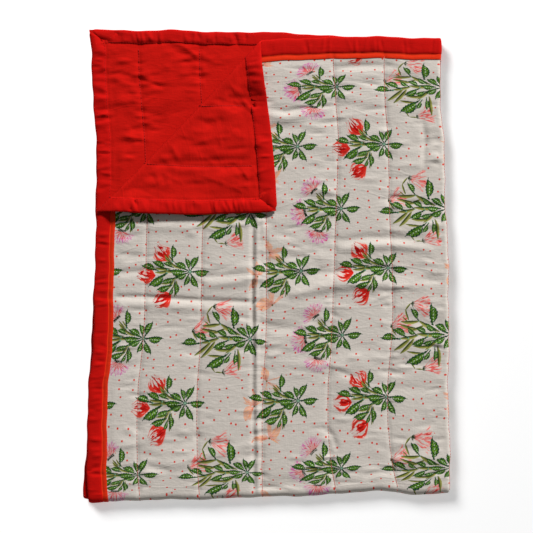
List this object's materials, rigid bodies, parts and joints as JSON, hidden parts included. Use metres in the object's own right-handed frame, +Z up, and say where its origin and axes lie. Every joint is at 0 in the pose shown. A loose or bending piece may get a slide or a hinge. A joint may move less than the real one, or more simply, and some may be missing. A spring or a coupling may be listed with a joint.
{
  "type": "folded printed quilt",
  "caption": "Thin channel-quilted throw with a flower print, plain red back and red binding, folded in quarters with its top corner turned back.",
  "frame": {"origin": "middle of the folded quilt's underside, on the surface that it rests on", "axes": "+X across the quilt towards its lengthwise fold, +Y along the quilt towards its free edges, +Z up out of the top layer"},
  "size_m": [0.5106, 0.6568, 0.0261],
  "materials": {
    "printed_cotton": "matte slubby cotton gauze, cream, printed with flower sprays and small red dots",
    "red_cotton": "matte slubby cotton gauze, plain red",
    "binding_cotton": "matte plain red cotton",
    "flange_cotton": "matte plain orange-red cotton"
  },
  "bodies": {
    "root": {"front_panel": "printed_cotton", "back_panel": "red_cotton", "binding": "binding_cotton", "flange": "flange_cotton"}
  },
  "joints": []
}
